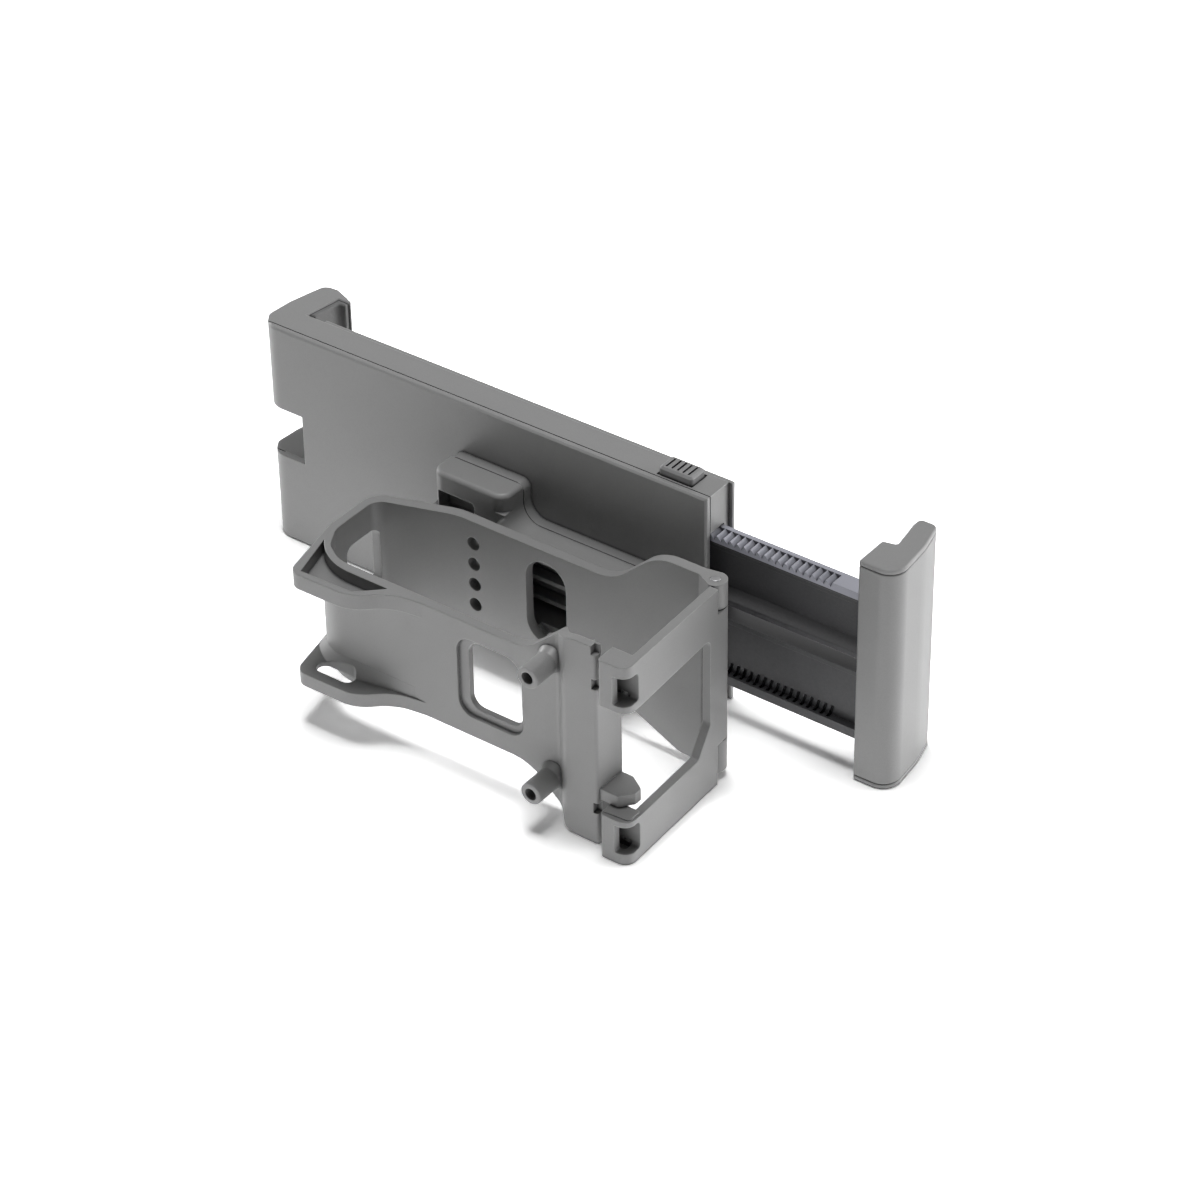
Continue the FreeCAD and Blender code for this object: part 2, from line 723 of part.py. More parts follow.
# Sliding rail: a channel with a long slot, a rib and two toothed racks
def buildSlidingRail():
    body = newBody("sliding_rail")
    front = size("rail_front")
    back = size("rail_back")
    low = size("rail_low")
    high = size("rail_high")
    flange = size("rail_flange")
    upperWeb = size("rail_web_upper")
    lowerWeb = size("rail_web_lower")
    step = size("rail_step")
    ribLow = size("slot_high")
    ribHigh = ribLow + size("rib_rise")
    section = newSketch(body, "YZ_Plane", "dim.rail_start")
    drawOutline(section, [
        (back, low),
        (back, high),
        (front, high),
        (front, high - flange),
        (lowerWeb, high - flange),
        (lowerWeb, high - flange - step + 0.4),
        (upperWeb, high - flange - step),
        (upperWeb, ribHigh),
        (size("rib_front"), ribLow + 1.5, 0.5),
        (size("rib_front"), size("slot_low") - size("slot_lip")),
        (lowerWeb, size("slot_low") - size("slot_lip") - 0.6),
        (lowerWeb, low + flange),
        (front, low + flange),
        (front, low),
    ])
    pad(body, section, "dim.body_length + dim.extension + dim.rail_grip - dim.rail_start")
    slot = newSketch(body, "XZ_Plane")
    radius = (size("slot_high") - size("slot_low")) * 0.49
    drawOutline(slot, [
        (size("slot_start"), size("slot_low"), radius),
        (size("slot_end"), size("slot_low"), radius),
        (size("slot_end"), size("slot_high"), radius),
        (size("slot_start"), size("slot_high"), radius),
    ])
    pocket(body, slot, "dim.rail_back + 2")
    first = size("rack_start")
    pitch = size("tooth_pitch")
    count = round((size("rack_end") - first) / pitch)
    tooth = newSketch(body, "XZ_Plane")
    drawOutline(tooth, [
        (first + 0.02, high + 0.01),
        (first + pitch * size("tooth_share"), high - size("tooth_depth")),
        (first + pitch * 0.97, high + 0.01),
    ])
    notch = pocket(body, tooth, "dim.tooth_back")
    repeat(body, notch, (planeOf(body, "X_Axis"), [""]), pitch, count)
    foot = low + flange - 1.2
    lean = size("slit_lean")
    width = size("slit_width")
    slit = newSketch(body, "XZ_Plane", "-dim.slit_front")
    drawOutline(slit, [
        (first, foot),
        (first + width, foot),
        (first + width + lean, foot + size("slit_rise")),
        (first + lean, foot + size("slit_rise")),
    ])
    opening = pocket(body, slit, "dim.slit_back - dim.slit_front")
    repeat(body, opening, (planeOf(body, "X_Axis"), [""]), pitch, count)


# Inner face of the sliding jaw at a given depth, from the jaw's left side
def innerAt(depth):
    share = (depth - plateBack) / (size("right_depth") - 3.0 - plateBack)
    return size("inner_foot") + share * (size("inner_tip") - size("inner_foot"))


# Corners of the sliding jaw's outline, seen from above
def jawOutline():
    left = size("body_length") + size("extension")
    depth = size("right_depth")
    front = 0.3
    return [
        (left, front, 0.6),
        (left + size("right_width") + 0.6, front, size("right_corner")),
        (left + size("right_width") - 0.8, depth * 0.62, 20),
        (left + size("right_width") - 3.0, depth, 1.8),
        (left + innerAt(depth - 3.0), depth, 2.4),
        (left + innerAt(depth - 3.0), depth - 3.0),
        (left + innerAt(plateBack + 0.7), plateBack + 0.7, 0.8),
        (left, plateBack - 0.1, 0.8),
    ]


# Sliding jaw: the tall bar that holds the rail's end and the tablet's edge
def buildRightJaw():
    body = newBody("right_jaw")
    section = newSketch(body, "XY_Plane", "dim.cap_thick")
    drawOutline(section, jawOutline())
    pad(body, section, "dim.body_height - dim.cap_thick * 2")
    for level in (size("cap_thick"), size("body_height") - size("cap_thick")):
        names = edgesIn(body.Tip.Shape, (0, -5, level - 0.01), (EVERYWHERE, EVERYWHERE, level + 0.01))
        dress(body, "Chamfer", names, "dim.cap_bevel")
    seat = newSketch(body, "YZ_Plane", "dim.body_length + dim.extension - 1")
    drawRectangle(seat, "dim.rail_front", "dim.rail_low", "dim.rail_back", "dim.rail_high")
    pocket(body, seat, "dim.rail_grip + 1", True)


def buildJawCap(label, low, outer, inner):
    body = newBody(label)
    section = newSketch(body, "XY_Plane", low)
    drawOutline(section, jawOutline())
    pad(body, section, "dim.cap_thick")
    names = edgesIn(body.Tip.Shape, (0, -5, inner - 0.01), (EVERYWHERE, EVERYWHERE, inner + 0.01))
    dress(body, "Chamfer", names, "dim.cap_bevel")
    names = edgesIn(body.Tip.Shape, (0, -5, outer - 0.01), (EVERYWHERE, EVERYWHERE, outer + 0.01))
    dress(body, "Fillet", names, "dim.cap_round")


# Rubber strip on the sliding jaw's inner face
def buildRightPad():
    body = newBody("right_pad")
    left = size("body_length") + size("extension")
    low = plateBack + 2.0
    high = size("right_depth") - 4.0
    thick = size("right_pad_thick")
    sketch = newSketch(body, "XY_Plane", "dim.right_pad_margin")
    drawOutline(sketch, [
        (left + innerAt(low), low),
        (left + innerAt(high), high),
        (left + innerAt(high) - thick, high, 0.3),
        (left + innerAt(low) - thick, low, 0.3),
    ])
    pad(body, sketch, "dim.body_height - dim.right_pad_margin * 2")


# Outline of the bracket seen from the front
def bracketOutline():
    return [
        (size("bracket_left"), size("bracket_low"), 3.0),
        (size("bracket_right"), size("bracket_low"), 3.0),
        (size("bracket_right"), size("ledge_level"), 2.0),
        (size("head_right"), size("ledge_level"), size("hollow_round")),
        (size("head_right"), size("head_level"), 2.4),
        (size("bracket_left"), size("head_level"), 2.4),
    ]


def screwColumn():
    return [(size("hole_place"), size("hole_low") + size("hole_pitch") * index) for index in range(4)]


# Rear half of the bracket, against the front cover
def buildBracketRear():
    body = newBody("bracket_rear")
    sketch = newSketch(body, "XZ_Plane")
    drawOutline(sketch, bracketOutline())
    pad(body, sketch, "dim.bracket_rear_depth")
    names = edgesIn(body.Tip.Shape, (0, -size("bracket_rear_depth") - 0.01, 0),
                    (EVERYWHERE, -size("bracket_rear_depth") + 0.01, EVERYWHERE))
    dress(body, "Chamfer", names, "dim.bracket_seam")
    threads = newSketch(body, "XZ_Plane", "dim.bracket_rear_depth + 1")
    drawHoles(threads, screwColumn(), size("screw_radius") + size("pin_play"))
    pocket(body, threads, "dim.bracket_rear_depth * 0.7 + 1")
    taps = newSketch(body, "XZ_Plane", -1.0)
    drawHoles(taps, bracketScrews(), size("screw_radius") + size("pin_play"))
    pocket(body, taps, "dim.bracket_rear_depth * 0.7 + 1", True)


# Concave web between the ledge and the head's side. It fills the head's rounded
# corner, and beyond the head it runs on to the cage wall.
def addBracketWeb(body):
    bend = size("hollow_round")
    corner = Vector(size("head_right"), size("ledge_level"), 0)
    arcMiddle = corner + Vector(1, 1, 0) * bend * (1 - math.sqrt(0.5))
    stretches = [
        ("dim.bracket_rear_depth", "dim.head_front - dim.bracket_rear_depth", size("head_round") + 1.0),
        ("dim.head_front", "dim.rear_outer - dim.head_front", 0.0),
    ]
    for behind, depth, reach in stretches:
        web = newSketch(body, "XZ_Plane", behind)
        inside = corner - Vector(reach, 2, 0)
        top = corner + Vector(0, bend, 0)
        lines = [(Vector(inside.x, top.y, 0), inside), (inside, Vector(corner.x + bend, inside.y, 0)),
                 (Vector(corner.x + bend, inside.y, 0), corner + Vector(bend, 0, 0))]
        if reach > 0:
            lines.append((top, Vector(inside.x, top.y, 0)))
        web.addGeometry([
            Part.Arc(corner + Vector(bend, 0, 0), arcMiddle, top),
            *[Part.LineSegment(first, second) for first, second in lines],
        ], False)
        pad(body, web, depth)


# Front half of the bracket, which stands against the cage's rear wall
def buildBracketFront():
    body = newBody("bracket_front")
    left = size("bracket_left")
    right = size("bracket_right")
    foot = size("bracket_low")
    ledge = size("ledge_level")
    depth = -size("head_front")
    split = -size("bracket_rear_depth")
    plate = newSketch(body, "XZ_Plane", "dim.bracket_rear_depth")
    drawOutline(plate, [
        (left + 0.1, foot, 3.0), (right, foot, 3.0), (right, ledge, 2.0),
        (size("head_right") - 4, ledge), (left + 0.1, ledge),
    ])
    pad(body, plate, "dim.head_front - dim.bracket_rear_depth")
    spacer = newSketch(body, "XZ_Plane", "dim.head_front - 0.5")
    top = ledge - size("spacer_step")
    step = size("head_right")
    drawOutline(spacer, [
        (left + 4, foot, 2), (right - 3, foot, 2), (right - 3, top, 2), (step, top),
        (step, top - size("slot_depth"), 1), (left + 4, top - size("slot_depth"), 2),
    ])
    pad(body, spacer, "dim.rear_outer - dim.head_front + 0.5")
    head = newSketch(body, "XY_Plane", "dim.ledge_level - 6")
    drawOutline(head, [
        (left, split), (left, depth, size("head_round")),
        (size("head_right"), depth, size("head_round")), (size("head_right"), split),
    ])
    pad(body, head, "dim.head_level - dim.ledge_level + 6")
    level = size("head_level")
    rim = edgesIn(body.Tip.Shape, (left - 1, depth - 1, level - 0.01),
                  (size("head_right") + 1, split - 0.05, level + 0.01))
    dress(body, "Fillet", rim, "1.2")
    addBracketWeb(body)
    nook = newSketch(body, "XZ_Plane", "dim.head_front + 1")
    drawOutline(nook, [
        (left + 2.0, ledge - 1.4, 1), (left + 13.7, ledge - 1.4, 1),
        (left + 13.7, ledge + 5.2, 1.2), (left + 2.0, ledge + 5.2, 0.6),
    ])
    pocket(body, nook, "5.5")
    access = newSketch(body, "XZ_Plane", "dim.rear_outer + 1")
    drawHoles(access, screwColumn(), size("hole_radius"))
    pocket(body, access, "dim.rear_outer + 1 - dim.head_front + 3")
    through = newSketch(body, "XZ_Plane", "dim.rear_outer")
    drawHoles(through, screwColumn(), size("screw_radius") + size("pin_play"))
    pocket(body, through, "dim.rear_outer")
    addBracketWell(body)


# Ribbed well behind the rear wall's long opening
def addBracketWell(body):
    oval = newSketch(body, "XZ_Plane", "dim.rear_outer + 1")
    drawOval(oval)
    pocket(body, oval, "2.4")
    well = newSketch(body, "XZ_Plane", "dim.rear_outer + 0.5")
    left = size("oval_left") - size("well_reach")
    right = size("oval_right") + size("well_reach") / 2
    low = size("bracket_low")
    high = size("ledge_level")
    drawOutline(well, [(left, low + 2, 2), (right, low + 2, 2), (right, high - 2, 2), (left, high - 2, 2)])
    pocket(body, well, "dim.rear_outer + 0.5 - dim.bracket_rear_depth - 2")
    ribs = newSketch(body, "XZ_Plane", "dim.bracket_rear_depth + 1.5")
    for share in (0.23, 0.5, 0.77):
        middle = low + share * (high - low)
        drawOutline(ribs, [
            (left - 0.5, middle - 0.6), (right + 0.5, middle - 0.6),
            (right + 0.5, middle + 0.6), (left - 0.5, middle + 0.6),
        ])
    pad(body, ribs, "4")


# Wall of the cage, seen from above: the rear wall, the rounded left end, the
# front wall, and the latch post with its return
def cageBand():
    left = size("cage_left")
    rear = -size("rear_outer")
    front = -size("front_outer")
    wallEnd = size("hinge_place") - size("knuckle_radius") - size("slide_gap") - 0.1
    innerLeft = left + size("left_wall")
    innerRear = rear - size("rear_wall")
    innerFront = front + size("front_wall")
    postLeft = size("post_left")
    postRight = size("post_right")
    postFront = -size("post_front")
    wall = size("post_wall")
    back = -size("post_return")
    return [
        (wallEnd, rear),
        (left + 22.4, rear, 15),
        (left, rear - 7.4, 6),
        (left, front, size("cage_corner")),
        (postLeft - 3.8, front, 3),
        (postLeft, postFront, 3),
        (postRight, postFront, 0.8),
        (postRight, back),
        (postRight - wall, back),
        (postRight - wall, postFront + wall, 0.8),
        (postLeft + 0.9, postFront + wall, 3),
        (postLeft - 2.9, innerFront, 3),
        (innerLeft, innerFront, size("cage_corner") - size("left_wall")),
        (innerLeft, innerRear - 6.6, 4),
        (left + 23.0, innerRear, 15),
        (wallEnd, innerRear),
    ]


# Flange outline, seen from above, closed inside the cage wall
def flangeOutline():
    left = size("cage_left")
    front = -size("flange_front")
    wall = -size("front_outer") + 1.0
    return [
        (left - 0.2, -size("front_outer") + 14.0),
        (left + 4.6, front, 3.5),
        (left + 23.2, front + 0.2, 11),
        (left + 30.6, -size("front_outer") - 1.2, 14),
        (left + 41.0, -size("front_outer") + 0.2),
        (left + 41.0, wall),
        (left + 14.0, wall),
        (left + 5.6, wall + 5.4),
        (left + 1.6, wall + 13.0),
    ]


# Open pocket in the upper flange, with the cage wall's curve as its far side
def drawFlangeRecess(sketch):
    left = size("cage_left")
    corner = size("cage_corner")
    rim = size("rim_wall")
    front = -size("flange_front")
    centre = Vector(left + corner, -size("front_outer") + corner, 0)
    begin = math.radians(214)
    finish = math.radians(268)
    start = centre + Vector(math.cos(begin), math.sin(begin), 0) * corner
    middle = centre + Vector(math.cos((begin + finish) / 2), math.sin((begin + finish) / 2), 0) * corner
    end = centre + Vector(math.cos(finish), math.sin(finish), 0) * corner
    spots = [
        end,
        Vector(left + 29.0, -size("front_outer"), 0),
        Vector(left + 22.6, front + rim + 0.4, 0),
        Vector(left + 6.9, front + rim, 0),
        start,
    ]
    sketch.addGeometry(Part.Arc(start, middle, end), False)
    for first, second in zip(spots[:-1], spots[1:]):
        sketch.addGeometry(Part.LineSegment(first, second), False)


# Areas above and below the cage wall's curved top and bottom edges
def drawWallCuts(sketch):
    low = size("wall_low")
    high = size("wall_high")
    full = size("cage_height")
    foot = size("rise_foot")
    head = size("rise_head")
    bend = size("rise_round")
    drawOutline(sketch, [
        (30, high), (foot, high, bend), (head, full, bend), (170, full), (170, full + 8), (30, full + 8),
    ])
    drawOutline(sketch, [
        (30, low), (foot, low, bend), (head, 0, bend), (170, 0), (170, -8), (30, -8),
    ])


# Cage that holds the controller
def buildCageFrame():
    body = newBody("cage_frame")
    band = newSketch(body, "XY_Plane", -BEYOND)
    drawOutline(band, cageBand())
    pad(body, band, f"dim.cage_height + {2 * BEYOND}")
    cuts = newSketch(body, "XZ_Plane")
    drawWallCuts(cuts)
    pocket(body, cuts, "100", True)
    foot = newSketch(body, "XZ_Plane", "dim.rear_outer + dim.rear_wall + 1")
    drawOutline(foot, [
        (size("rise_foot") - 4.0, size("wall_low")),
        (size("rise_foot"), size("wall_low"), 8),
        (size("rear_foot"), size("knuckle_foot"), 4),
        (size("hinge_place") + 10, size("knuckle_foot")),
        (size("hinge_place") + 10, -8),
        (size("rise_foot") - 4.0, -8),
    ])
    pocket(body, foot, "dim.rear_wall + 2")
    levels = [
        ("dim.wall_high - dim.flange_upper", "dim.flange_upper"),
        ("dim.wall_low", "dim.flange_lower"),
    ]
    for low, thick in levels:
        flange = newSketch(body, "XY_Plane", low)
        drawOutline(flange, flangeOutline())
        pad(body, flange, thick)
    addGusset(body)
    recess = newSketch(body, "XY_Plane", "dim.wall_high + 1")
    drawFlangeRecess(recess)
    pocket(body, recess, "dim.recess_depth + 1")
    slot = newSketch(body, "XY_Plane", "dim.wall_low + dim.flange_lower + dim.gusset_rise + 1")
    middle = -size("lanyard_middle")
    half = size("lanyard_width") / 2
    turn = half * 0.98
    drawOutline(slot, [
        (size("lanyard_left"), middle - half, turn),
        (size("lanyard_right"), middle - half, turn),
        (size("lanyard_right"), middle + half, turn),
        (size("lanyard_left"), middle + half, turn),
    ])
    pocket(body, slot, "dim.flange_lower + dim.gusset_rise + 2")
    under = newSketch(body, "XY_Plane", "dim.wall_low - 1")
    drawFlangeRecess(under)
    pocket(body, under, "dim.flange_lower - dim.lower_web + 1", True)
    addCageWindows(body)
    addRearWallDetails(body)
    addPostDetails(body)
    addBosses(body)
    addKnuckles(body)


# Outline of the gusset at one level, reaching out from the wall's rounded corner
def drawGusset(sketch, reach):
    left = size("cage_left")
    corner = size("cage_corner")
    wall = -size("front_outer")
    centre = Vector(left + corner, wall + corner, 0)

    def spot(degrees, radius):
        angle = math.radians(degrees)
        return centre + Vector(math.cos(angle), math.sin(angle), 0) * radius

    inner = corner - 1.0
    outer = corner + reach
    edge = corner + min(reach, 0.4)
    far = Vector(left + 36.0, wall - 0.02, 0)
    farIn = Vector(left + 36.0, wall + 1.0, 0)
    sketch.addGeometry([
        Part.LineSegment(spot(192, inner), spot(194, edge)),
        Part.LineSegment(spot(194, edge), spot(222, outer)),
        Part.Arc(spot(222, outer), spot(246, outer), spot(270, outer)),
        Part.LineSegment(spot(270, outer), far),
        Part.LineSegment(far, farIn),
        Part.LineSegment(farIn, spot(270, inner)),
        Part.Arc(spot(270, inner), spot(231, inner), spot(192, inner)),
    ], False)


# Sloping gusset between the lower flange and the wall
def addGusset(body):
    lower = newSketch(body, "XY_Plane", "dim.wall_low + dim.flange_lower - 0.5")
    drawGusset(lower, size("gusset_reach"))
    upper = newSketch(body, "XY_Plane", "dim.wall_low + dim.flange_lower + dim.gusset_rise")
    drawGusset(upper, 0.02)
    gusset = body.newObject("PartDesign::AdditiveLoft", body.Label + "_gusset")
    gusset.Profile = lower
    gusset.Sections = [upper]
    gusset.Ruled = True
    settle(gusset)


def addCageWindows(body):
    end = newSketch(body, "YZ_Plane", size("cage_left") - 1.0)
    drawOutline(end, [
        (-size("rear_outer") - 21.4, size("window_low") + 1, 2.5),
        (-size("rear_outer") - 9.4, size("window_low") + 1, 2.5),
        (-size("rear_outer") - 9.4, size("window_high") - 2.3, 2.5),
        (-size("rear_outer") - 21.4, size("window_high") - 2.3, 2.5),
    ])
    pocket(body, end, "dim.left_wall + 2", True)
    radius = size("window_round")
    margin = size("window_margin")
    left = size("window_left")
    right = size("window_right")
    low = size("window_low")
    high = size("window_high")
    hole = newSketch(body, "XZ_Plane", "dim.front_outer + 1")
    drawOutline(hole, [
        (left, low, radius), (right, low, radius), (right, high, radius + 1.5), (left, high, radius),
    ])
    pocket(body, hole, "dim.front_wall + 2")
    border = newSketch(body, "XZ_Plane", "dim.front_outer + 1")
    drawOutline(border, [
        (left - margin, low - size("window_sill"), radius + 1),
        (right + 1.0, low - size("window_sill"), radius + 1),
        (right + 1.0, high + 1.0, radius + 2),
        (left - margin, high + 1.0, radius + 1),
    ])
    pocket(body, border, "dim.window_recess + 1")


def drawOval(sketch):
    radius = (size("oval_right") - size("oval_left")) * 0.49
    drawOutline(sketch, [
        (size("oval_left"), size("oval_low"), radius), (size("oval_right"), size("oval_low"), radius),
        (size("oval_right"), size("oval_high"), radius), (size("oval_left"), size("oval_high"), radius),
    ])


# Long opening and screw holes of the rear wall, with the raised collar above the bracket's ledge
def addRearWallDetails(body):
    reach = size("collar_reach")
    foot = size("ledge_level") - size("spacer_step")
    collar = newSketch(body, "XZ_Plane", "dim.rear_outer - 2.6")
    drawOutline(collar, [
        (size("oval_left") - reach, foot), (size("oval_right") + reach, foot),
        (size("oval_right") + reach, size("oval_high") + 1.2, 5),
        (size("oval_left") - reach, size("oval_high") + 1.2, 5),
    ])
    pad(body, collar, "3")
    access = newSketch(body, "XZ_Plane", "dim.rear_outer + dim.rear_wall + 1")
    drawHoles(access, screwColumn(), size("hole_radius"))
    pocket(body, access, "dim.rear_wall + 2")
    oval = newSketch(body, "XZ_Plane", "dim.rear_outer + dim.rear_wall + 1")
    drawOval(oval)
    pocket(body, oval, "dim.rear_wall + 2.4")


# Latch slots at the post's edge and the tab that the door closes around
def addPostDetails(body):
    right = size("post_right")
    above = newSketch(body, "XZ_Plane", "dim.post_front - dim.post_wall")
    inside = size("post_right") - size("post_wall")
    drawOutline(above, [
        (inside - 0.01, size("return_top")), (right + 1, size("return_top")),
        (right + 1, size("cage_height") + 1), (inside - 0.01, size("cage_height") + 1),
    ])
    pocket(body, above, "dim.post_front - dim.post_wall - dim.post_return + 1")
    slots = newSketch(body, "XZ_Plane", "dim.post_front + 1")
    for low in (size("return_top") + 0.3, size("cage_height") - 2.4, size("tab_low") - 4.1):
        drawOutline(slots, [
            (right - 1.4, low), (right + 1, low), (right + 1, low + 3.0), (right - 1.4, low + 3.0),
        ])
    pocket(body, slots, "dim.post_wall * 0.8 + 1")
    tab = newSketch(body, "XY_Plane", "dim.tab_low")
    front = -size("post_front") + 0.9
    back = -size("post_return") - 0.5
    drawOutline(tab, [
        (right - 1, front), (size("tab_right") - 2.6, front, 0.6), (size("tab_right"), front + 3.4, 0.6),
        (size("tab_right"), back - 2.8, 0.6), (size("tab_right") - 4.4, back, 0.6), (right - 1, back),
    ])
    pad(body, tab, "dim.tab_high - dim.tab_low")


def bossLevels():
    half = size("boss_spacing") / 2
    return [size("boss_centre") - half, size("boss_centre") + half]


# Two hollow bosses that stand out of the front wall
def addBosses(body):
    places = [(size("boss_place"), level) for level in bossLevels()]
    posts = newSketch(body, "XZ_Plane", "dim.front_outer - 1")
    drawHoles(posts, places, size("boss_radius"))
    pad(body, posts, "dim.boss_tip - dim.front_outer + 1")
    for level in bossLevels():
        flare = newSketch(body, "XY_Plane", level)
        across = size("boss_place")
        wide = size("boss_radius") + size("boss_flare")
        wall = -size("front_outer")
        flare.addGeometry([
            Part.LineSegment(Vector(across, wall + 1, 0), Vector(across + wide, wall + 1, 0)),
            Part.LineSegment(Vector(across + wide, wall + 1, 0), Vector(across + wide, wall - 0.3, 0)),
            Part.LineSegment(Vector(across + wide, wall - 0.3, 0),
                             Vector(across + size("boss_radius"), wall - 2.2, 0)),
            Part.LineSegment(Vector(across + size("boss_radius"), wall - 2.2, 0),
                             Vector(across, wall - 2.2, 0)),
            Part.LineSegment(Vector(across, wall - 2.2, 0), Vector(across, wall + 1, 0)),
        ], False)
        turned = body.newObject("PartDesign::Revolution", body.Label + "_flare")
        turned.Profile = flare
        turned.ReferenceAxis = (flare, ["Edge5"])
        turned.Angle = 360
        settle(turned)
    tips = edgesIn(body.Tip.Shape, (0, -size("boss_tip") - 0.01, 0),
                   (EVERYWHERE, -size("boss_tip") + 0.01, EVERYWHERE))
    dress(body, "Fillet", tips, "0.35")
    bores = newSketch(body, "XZ_Plane", "dim.boss_tip")
    drawHoles(bores, places, size("boss_bore"))
    pocket(body, bores, "dim.boss_hole_depth")


# Upper and lower hinge knuckles, joined to the end of the rear wall
def addKnuckles(body):
    place_x = size("hinge_place")
    place_y = -size("hinge_depth")
    radius = size("knuckle_radius")
    levels = [
        ("dim.knuckle_foot", "dim.knuckle_height - dim.knuckle_foot"),
        ("dim.cage_height - dim.upper_knuckle", "dim.upper_knuckle"),
    ]
    for low, height in levels:
        knuckle = newSketch(body, "XY_Plane", low)
        angle = math.radians(60)
        upper = Vector(place_x, place_y + radius, 0)
        lower = Vector(place_x, place_y - radius, 0)
        bulge = Vector(place_x + radius, place_y, 0)
        wallX = place_x - radius - size("slide_gap") - 1.1
        rear = -size("rear_outer")
        inner = rear - size("rear_wall")
        ease = Vector(place_x - radius * math.sin(angle), place_y - radius * math.cos(angle), 0)
        knuckle.addGeometry([
            Part.Arc(lower, bulge, upper),
            Part.LineSegment(upper, Vector(wallX, rear, 0)),
            Part.LineSegment(Vector(wallX, rear, 0), Vector(wallX, inner, 0)),
            Part.LineSegment(Vector(wallX, inner, 0), ease),
            Part.LineSegment(ease, lower),
        ], False)
        pad(body, knuckle, height)
    bore = newSketch(body, "XY_Plane", "dim.cage_height + 1")
    drawCircle(bore, "dim.hinge_place", "-dim.hinge_depth", "dim.hinge_pin_radius + dim.hinge_play / 3")
    pocket(body, bore, "dim.cage_height + 2")


# Door of the cage: a framed panel with two windowed latch fingers
def buildCageDoor():
    body = newBody("cage_door")
    pinX = size("hinge_place")
    pinY = -size("hinge_depth")
    radius = size("knuckle_radius")
    wall = size("door_wall")
    lean = size("door_lean")
    front = -size("finger_front")
    left = size("finger_left")
    face = pinX + radius
    section = newSketch(body, "XY_Plane")
    drawOutline(section, [
        (face, pinY),
        (face + lean, front, 3.0),
        (left, front, 0.8),
        (left, front + 2.1, 0.4),
        (face + lean - wall, front + 2.1, 1.0),
        (face - wall, pinY),
    ])
    pad(body, section, "dim.cage_height")
    height = size("cage_height")
    reach = size("finger_height")
    openBack = -size("door_open_back")
    openFront = -size("door_open_front")
    opening = newSketch(body, "YZ_Plane", "dim.hinge_place + dim.knuckle_radius + 10")
    drawOutline(opening, [
        (front - 2, reach), (openFront, reach - 0.6, 2), (openBack - 5.4, reach - 0.4, 1.5),
        (openBack, reach + 7.0, 2.5), (openBack, height - reach + 0.6, 2.2),
        (openFront, height - reach - 0.4, 2), (front - 2, height - reach),
    ])
    pocket(body, opening, "20")
    for low in ("0", "dim.cage_height - dim.finger_height"):
        for shift in ("0", "dim.finger_height - dim.finger_plate"):
            plate = newSketch(body, "XY_Plane", f"{low} + {shift}")
            drawOutline(plate, [
                (left, front + 1.0), (face + lean - 0.8, front + 1.6, 1.0),
                (face + lean - 0.9, -size("finger_back")), (left, -size("finger_back")),
            ])
            pad(body, plate, "dim.finger_plate")
        behind = newSketch(body, "XY_Plane", low)
        back = -size("finger_back")
        wall_thick = size("finger_wall")
        drawOutline(behind, [
            (left, front + 1.0), (left + wall_thick, front + 1.0), (left + wall_thick, back - wall_thick),
            (face + lean - wall + 0.5, back - wall_thick), (face + lean - wall + 0.5, back), (left, back),
        ])
        pad(body, behind, "dim.finger_height")
    windows = newSketch(body, "XZ_Plane", "dim.finger_front + 1")
    corner = newSketch(body, "YZ_Plane", "dim.hinge_place + dim.knuckle_radius + 10")
    windowLeft = size("finger_window_left")
    fingerInner = -size("finger_back") - size("finger_wall")
    for low in (0.0, height - reach):
        under = low + size("finger_window_low")
        over = low + size("finger_window_high")
        if low > 0:
            under = height - size("finger_window_high")
            over = height - size("finger_window_low")
        drawOutline(windows, [
            (windowLeft, under, 0.5), (face + lean + 2, under), (face + lean + 2, over),
            (windowLeft, over, 0.5),
        ])
        drawOutline(corner, [
            (front - 1, under), (fingerInner, under, 1.0), (fingerInner, over, 1.6), (front - 1, over),
        ])
    pocket(body, windows, "4.2")
    pocket(body, corner, "11.5")
    slits = newSketch(body, "XZ_Plane", "dim.finger_back + dim.finger_wall + 0.5")
    for low in (size("finger_window_low"), height - size("finger_window_high")):
        drawOutline(slits, [
            (windowLeft - 1.0, low), (face + lean - wall - 1.0, low),
            (face + lean - wall - 1.0, low + 0.8), (windowLeft - 1.0, low + 0.8),
        ])
    pocket(body, slits, "dim.finger_wall + 1")
    barrel = newSketch(body, "XY_Plane", "dim.knuckle_height + dim.slide_gap")
    drawCircle(barrel, "dim.hinge_place", "-dim.hinge_depth", "dim.knuckle_radius")
    pad(body, barrel, "dim.cage_height - dim.upper_knuckle - dim.knuckle_height - dim.slide_gap * 2")
    room = size("slide_gap")
    clear = newSketch(body, "YZ_Plane", "dim.hinge_place + dim.knuckle_radius + 10")
    for low, high in [(-1.0, size("knuckle_height") + room),
                      (height - size("upper_knuckle") - room, height + 1)]:
        drawOutline(clear, [
            (pinY - radius - room, low), (pinY + radius + 1, low),
            (pinY + radius + 1, high), (pinY - radius - room, high),
        ])
    pocket(body, clear, "20")
    bore = newSketch(body, "XY_Plane", "dim.cage_height + 1")
    drawCircle(bore, "dim.hinge_place", "-dim.hinge_depth", "dim.hinge_pin_radius + dim.hinge_play")
    pocket(body, bore, "dim.cage_height + 2")


